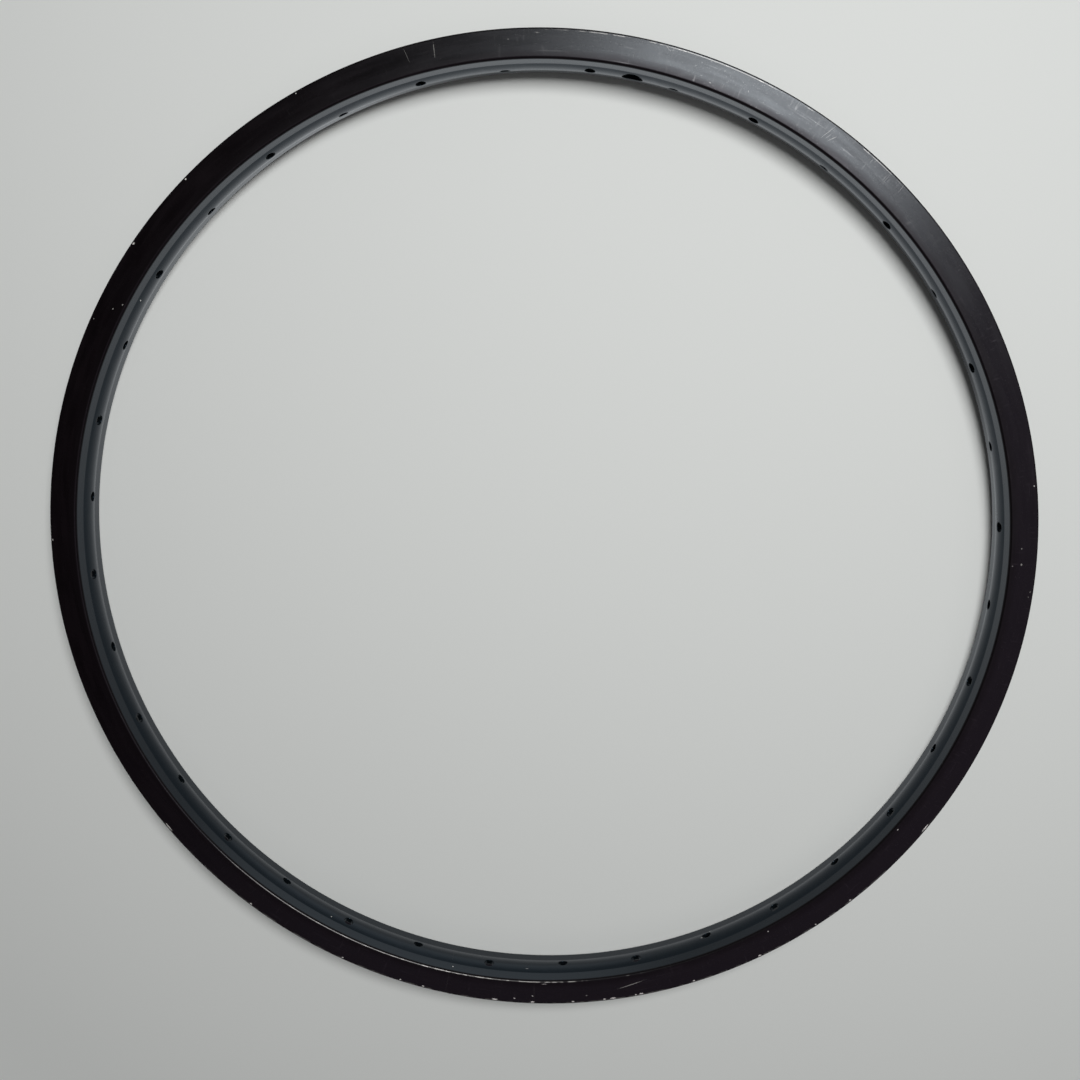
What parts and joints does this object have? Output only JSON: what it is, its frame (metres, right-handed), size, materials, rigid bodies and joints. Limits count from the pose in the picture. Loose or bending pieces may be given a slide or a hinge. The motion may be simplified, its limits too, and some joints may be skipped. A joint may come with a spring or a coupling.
{
  "type": "bicycle rim",
  "caption": "Bare single-wall aluminium bicycle rim for a small-wheel clincher tyre, black, with flat brake tracks, hooked flanges, staggered spoke holes and a valve hole.",
  "frame": {"origin": "centre of the hoop, midway between the two brake tracks", "axes": "+Z along the wheel's axle line, the hoop lying flat; +Y through the valve hole; the joint on -Y"},
  "size_m": [0.419, 0.419, 0.023],
  "materials": {
    "black_anodised": "black anodised, smooth on the brake tracks and matt on the hub side, worn to bare metal in chips"
  },
  "bodies": {
    "root": {"rim": "black_anodised"}
  },
  "joints": []
}
